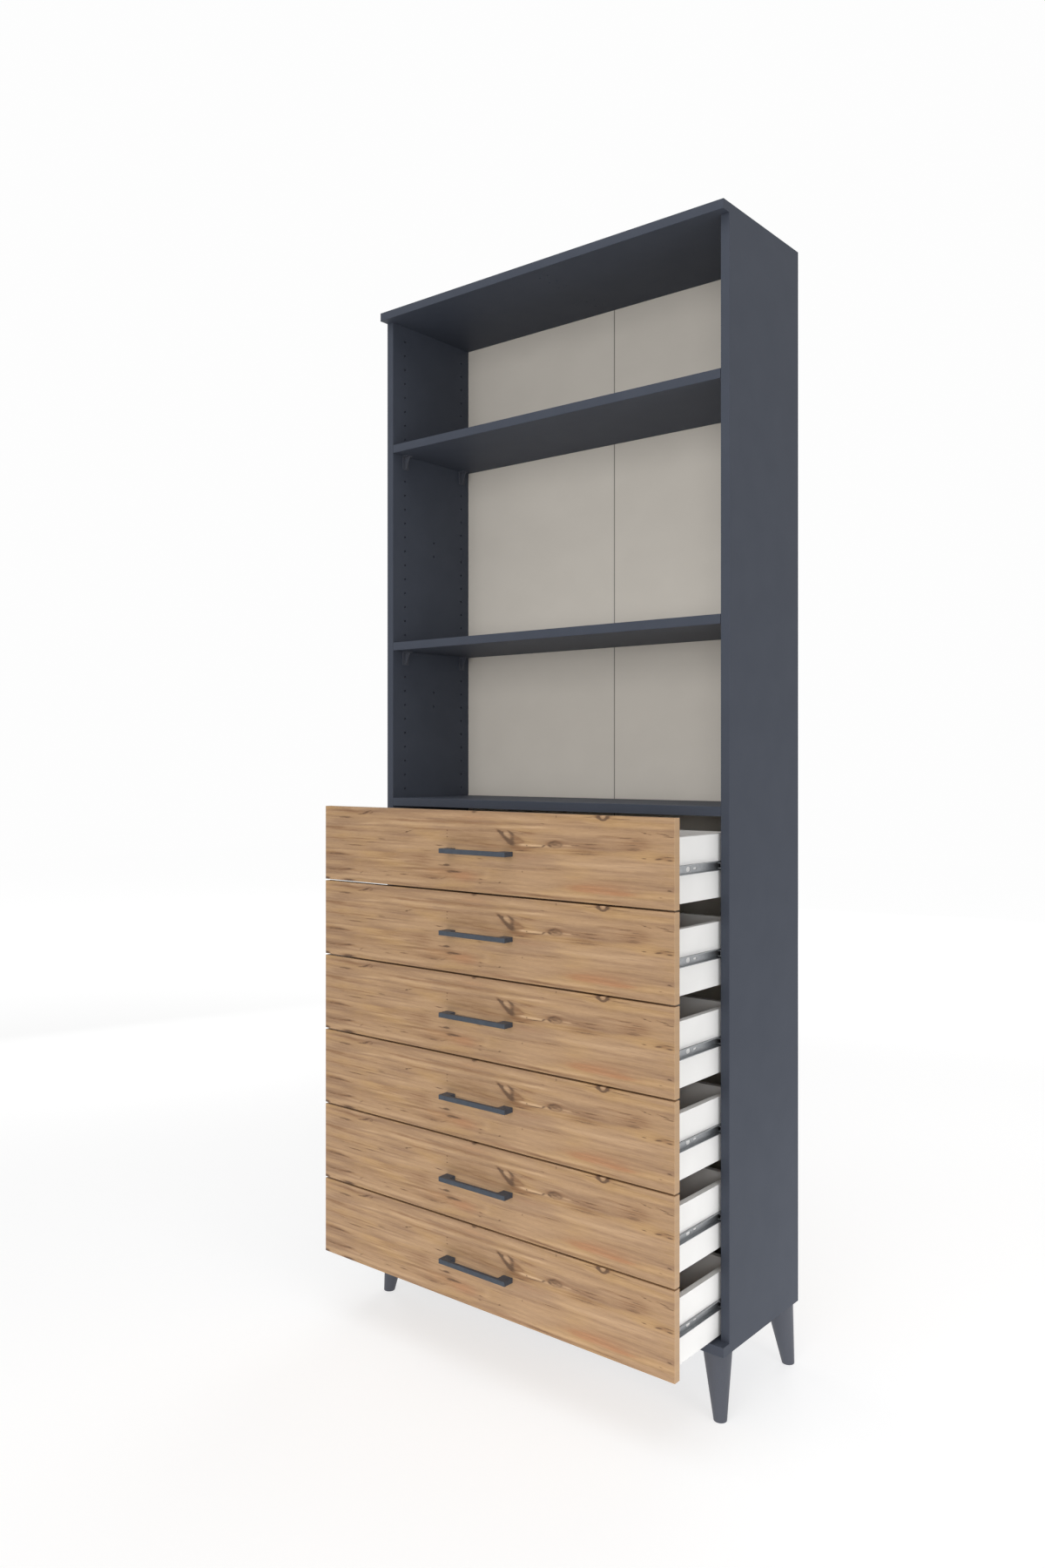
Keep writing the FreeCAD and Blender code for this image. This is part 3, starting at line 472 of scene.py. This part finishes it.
def oak_front():
    """Drawer fronts: the print on both faces, and the edge bands."""
    finish = Finish("rustic_oak_print")
    oak = OakPrint(finish)
    broad, middle, fine = oak.grain()
    band = abs(finish.axes()[0]) > first_front_high.x - OAK_BAND_THICKNESS

    hue = oak.noise(HUE_SIZE, detail=2.0).between(0.45, 0.7)
    orange = oak.marks(ORANGE_MARKS).between(0.0, 1.0)
    orange = orange * middle.between(NOISE_LOW, NOISE_HIGH, 0.6, 1.0)
    dark = oak.marks(DARK_MARKS) + oak.rings(RING_MARKS)
    shade = (oak.marks(SHADE_MARKS) + dark * SHADE_OF_DARK).between(0.0, 1.0)
    shade = shade * middle.between(NOISE_HIGH, NOISE_LOW, 0.3, 0.95)
    light = oak.marks(LIGHT_MARKS) * middle.between(NOISE_LOW, NOISE_HIGH, 0.65, 1.15)
    # The grain is livelier in patches, and on the left.
    patch = oak.noise(PATCH_SIZE, detail=1.0).between(0.34, 0.66, 0.25, 1.4)
    lively = oak.across.between(-300.0, 350.0, 1.1, 0.7) * patch
    pores = oak.noise(PORE_SIZE, detail=1.0).between(0.66, 0.78)
    streak = oak.noise(STREAK_SIZE, detail=2.0, roughness=0.6).between(0.32, 0.68)
    dark = dark.times_plus(DARK_GAIN, streak * -STREAK_BITE)
    dark = dark.between(0.0, DARK_FULL, 0.0, DARK_COVER)

    # Layers from the lowest up: how far each covers what is under it, and its tone.
    layers = (
        (hue * HONEY_COVER, HONEY_TONE),
        (orange, ORANGE_TONE),
        (shade, SHADE_TONE),
        (middle.between(0.52, 0.34) * lively * GRAIN_DARK_COVER, DARK_TONE),
        (middle.between(0.5, 0.68) * lively * GRAIN_PALE_COVER, PALE_TONE),
        (light * LIGHT_COVER, PALE_TONE),
        (fine.between(0.56, 0.34) * FINE_DARK_COVER, DARK_TONE),
        (fine.between(0.5, 0.7) * FINE_PALE_COVER, PALE_TONE),
        (pores * PORE_COVER, DARK_TONE),
        (dark, DARK_TONE),
        (band * BAND_COVER, EDGE_BAND_TONE),
    )
    colour = finish.mixed(broad.between(0.36, 0.6), GREY_TONE, PLAIN_TONE)
    for cover, layer_tone in layers:
        colour = finish.mixed(cover, colour, layer_tone)
    relief = middle * FIBRE_RELIEF + fine * FIBRE_RELIEF - dark * DARK_RELIEF
    finish.set(Base_Color=colour, Roughness=fine.between(NOISE_LOW, NOISE_HIGH, 0.62, 0.5),
               Normal=finish.bump(relief, distance=0.08 * MM, strength=0.3), Specular_IOR_Level=0.3)
    return finish.material


# ---------------------------------------------------------------- metal, plastic and dowel finishes
ZINC_TONES = (tone(160, 162, 165), tone(170, 172, 174))
HANDLE_TONES = (tone(55, 62, 72), tone(61, 68, 78))
BEECH_TONES = (tone(190, 150, 104), tone(214, 178, 132))
GRAPHITE_PLASTIC_TONES = (tone(70, 73, 82), tone(78, 81, 90))
BLACK_PLASTIC_TONES = (tone(24, 24, 26), tone(32, 32, 34))
PLASTIC_ROUGHNESS_SPAN = 0.12
STRIP_TONES = (tone(128, 124, 116), tone(134, 130, 122))


def zinc_steel():
    """Zinc-plated sheet, rolled along its length, with a faint spangle."""
    finish = Finish("zinc_plated_steel")
    place = finish.place()
    drawn = finish.noise(place, (0.6 * MM, 40 * MM, 0.6 * MM), detail=3.0)
    spangle = finish.noise(place, (4 * MM, 9 * MM, 4 * MM), detail=2.0)
    finish.set(Base_Color=finish.mottled(spangle, ZINC_TONES), Metallic=1.0,
               Roughness=drawn.between(0.25, 0.75, 0.36, 0.48),
               Normal=finish.bump(drawn, distance=0.01 * MM, strength=0.3))
    return finish.material


def powder_coat():
    """Handles: graphite powder coat with a fine orange peel."""
    finish = Finish("graphite_powder_coat")
    place = finish.place()
    peel = finish.noise(place, 0.8 * MM, detail=2.0)
    cloud = finish.noise(place, 12 * MM, detail=2.0)
    finish.set(Base_Color=finish.mottled(cloud, HANDLE_TONES),
               Roughness=finish.rough(peel, 0.4, 0.52),
               Normal=finish.bump(peel, distance=0.03 * MM, strength=0.4), Specular_IOR_Level=0.4)
    return finish.material


def moulded_plastic(name, tones, grain_size, smoothest):
    """Moulded plastic with an eroded surface; smoothest is its lowest roughness."""
    finish = Finish(name)
    grain = finish.noise(finish.place(), grain_size, detail=3.0)
    finish.set(Base_Color=finish.mottled(grain, tones),
               Roughness=finish.rough(grain, smoothest, smoothest + PLASTIC_ROUGHNESS_SPAN),
               Normal=finish.bump(grain, distance=0.03 * MM, strength=0.4), Specular_IOR_Level=0.35)
    return finish.material


def beech():
    """Dowels: turned beech with short flecks."""
    finish = Finish("beech_dowel")
    fleck = finish.noise(finish.place(), 1.2 * MM, detail=3.0)
    finish.set(Base_Color=finish.mottled(fleck, BEECH_TONES),
               Roughness=finish.rough(fleck, 0.55, 0.7))
    return finish.material


# ---------------------------------------------------------------- finishes on the parts
def behind_back(_x, y, _z):
    """1 on the rear half of the back sheets."""
    return y > back_middle_y


def under_bottom(_x, _y, z):
    """1 on the lower half of the drawer bottoms, which repeat with the pitch of the fronts."""
    return (z - bottom_middle_z + front_pitch / 2) % front_pitch < front_pitch / 2


def dress():
    """Gives every part its finish."""
    upright = melamine("graphite_melamine", front_edge_y)
    level = melamine("graphite_melamine_ends", end_board_front_y, half_width)
    graphite_plastic = moulded_plastic("graphite_plastic_moulding", GRAPHITE_PLASTIC_TONES,
                                       0.7 * MM, 0.42)
    black_plastic = moulded_plastic("black_plastic_moulding", BLACK_PLASTIC_TONES, 0.6 * MM, 0.35)
    strip_plastic = moulded_plastic("beige_strip_moulding", STRIP_TONES, 0.8 * MM, 0.45)
    zinc = zinc_steel()
    white = white_foil()
    back = hardboard("beige_lacquered_hardboard", BEIGE_TONES, behind_back)
    bottom = hardboard("white_lacquered_hardboard", WHITE_LACQUER_TONES, under_bottom)
    finishes = {
        "side_panel_left": upright, "side_panel_right": upright, "fixed_shelf": upright,
        "shelf_lower": upright, "shelf_upper": upright, "top_panel": level, "base_panel": level,
        "shelf_supports": graphite_plastic, "leg_front_left": graphite_plastic,
        "leg_front_right": graphite_plastic, "leg_rear_left": graphite_plastic,
        "leg_rear_right": graphite_plastic, "back_panel_left": back, "back_panel_right": back,
        "back_joining_strip": strip_plastic, "cabinet_runners": zinc, "panel_fittings": zinc,
        "panel_dowels": beech(),
    }
    drawer_finishes = {"front": oak_front(), "sides": white, "back": white, "bottom": bottom,
                       "handle": powder_coat(), "runners": zinc, "ball_cages": black_plastic}
    for number in range(1, drawer_count + 1):
        for kind, material in drawer_finishes.items():
            finishes["drawer_%d_%s" % (number, kind)] = material
    for name, material in finishes.items():
        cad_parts[name].data.materials[0] = material


# ---------------------------------------------------------------- floor and light
WORLD_LIGHT = 0.33                # strength of the world where it lights the object
WORLD_SEEN = 0.985                # and where it is seen, a shade under white
WHITE = (1.0, 1.0, 1.0, 1.0)
FLOOR_TONE = tone(185, 185, 185)
FLOOR_REACH = 12.0
# The floor's glow where it is seen: near the object, far from it, and more in its shadow.
GLOW_NEAR, NEAR_RADIUS = 0.60, 1.5
GLOW_FAR, FAR_RADIUS = 0.82, 6.0
SHADOW_GLOW, SHADOW_MIDDLE = 0.075, (0.4, 1.3, 0.0)
SHADOW_CORE, SHADOW_REACH = 0.5, 2.0
# The floor's glow where it lights the object, in pools: middle, reach in metres and strength.
POOLS = (
    ((1.0, 0.4, 0.0), 1.7, 1.1),
    ((-0.5, -0.9, 0.0), 2.0, 0.8),
    ((0.95, 0.5, 0.0), 0.6, 1.3),
)
POOL_CORE = 0.2                   # a pool has its whole strength within this radius
# Rectangular lamps: place, the point that each faces, width, height and watts.
SOFTBOXES = {
    "front_softbox": ((0.5, -4.6, 1.7), (0.0, 0.0, 1.1), 3.6, 3.0, 68),
    "corner_softbox": ((2.0, -2.6, 1.3), (0.0, 0.0, 0.8), 0.8, 0.8, 13),
    "right_softbox": ((3.2, -0.8, 1.1), (0.44, 0.0, 0.8), 1.2, 1.2, 18),
    "left_softbox": ((-3.2, 1.0, 1.3), (-0.44, 0.0, 0.9), 1.5, 1.5, 12),
    "rear_softbox": ((-1.4, 6.2, 3.2), (0.0, 0.2, 1.0), 4.0, 2.6, 105),
    "overhead_softbox": ((0.4, -1.2, 4.2), (0.0, 0.0, 0.8), 3.5, 2.5, 45),
}


def make_floor():
    """Pale floor that keeps the shadow and throws light up from pools round the object."""
    mesh = bpy.data.meshes.new("floor")
    corners = [(x * FLOOR_REACH, y * FLOOR_REACH, 0.0)
               for x, y in ((-1, -1), (1, -1), (1, 1), (-1, 1))]
    mesh.from_pydata(corners, [], [(0, 1, 2, 3)])
    floor = bpy.data.objects.new("floor", mesh)
    bpy.context.scene.collection.objects.link(floor)
    finish = Finish("pale_floor")
    place = finish.place()
    from_middle = finish.vector_math("LENGTH", place, output="Value")
    from_shadow = finish.vector_math("DISTANCE", place, SHADOW_MIDDLE, output="Value")
    shown = from_middle.between(NEAR_RADIUS, FAR_RADIUS, GLOW_NEAR, GLOW_FAR)
    shown = shown + from_shadow.between(SHADOW_REACH, SHADOW_CORE, 0.0, SHADOW_GLOW)
    thrown = 0.0
    for middle, reach, strength in POOLS:
        away = finish.vector_math("DISTANCE", place, middle, output="Value")
        thrown = away.between(reach, POOL_CORE, 0.0, strength) + thrown
    seen = finish.seen()
    glow = seen * shown + (1 - seen) * thrown
    finish.set(Base_Color=FLOOR_TONE, Roughness=0.9, Specular_IOR_Level=0.0,
               Emission_Color=finish.vector(glow, glow, glow), Emission_Strength=1.0)
    mesh.materials.append(finish.material)


def make_world():
    """Even light from all round, and near white where it is seen."""
    world = bpy.data.worlds.new("studio")
    bpy.context.scene.world = world
    sheet = Sheet(world, "Background")
    sheet.set(Color=WHITE, Strength=sheet.seen().between(0.0, 1.0, WORLD_LIGHT, WORLD_SEEN))


def make_lights():
    """Soft lamps all round, the strongest in front and behind."""
    for name, (place, target, width, height, watts) in SOFTBOXES.items():
        light = bpy.data.lights.new(name, "AREA")
        light.shape = "RECTANGLE"
        light.size = width
        light.size_y = height
        light.energy = watts
        lamp = bpy.data.objects.new(name, light)
        lamp.location = place
        lamp.rotation_euler = (Vector(target) - Vector(place)).to_track_quat("-Z", "Y").to_euler()
        bpy.context.scene.collection.objects.link(lamp)


# ---------------------------------------------------------------- camera
CAMERA_PLACE = (1.51455, -1.95232, 1.1969)
CAMERA_TURN = math.radians(39.18)         # from straight along +Y towards -X
LEVEL = math.radians(90.0)
CAMERA_LENS = 27.44
CAMERA_SHIFT = (0.0016, -0.0147)


def make_camera():
    """A level camera in front of the right corner; verticals stay upright by its shift."""
    data = bpy.data.cameras.new("camera")
    data.lens = CAMERA_LENS
    data.shift_x, data.shift_y = CAMERA_SHIFT
    camera = bpy.data.objects.new("camera", data)
    camera.location = CAMERA_PLACE
    camera.rotation_euler = (LEVEL, 0.0, CAMERA_TURN)
    bpy.context.scene.collection.objects.link(camera)
    bpy.context.scene.camera = camera


bpy.context.scene.view_settings.view_transform = "Standard"
dress()
make_floor()
make_world()
make_lights()
make_camera()
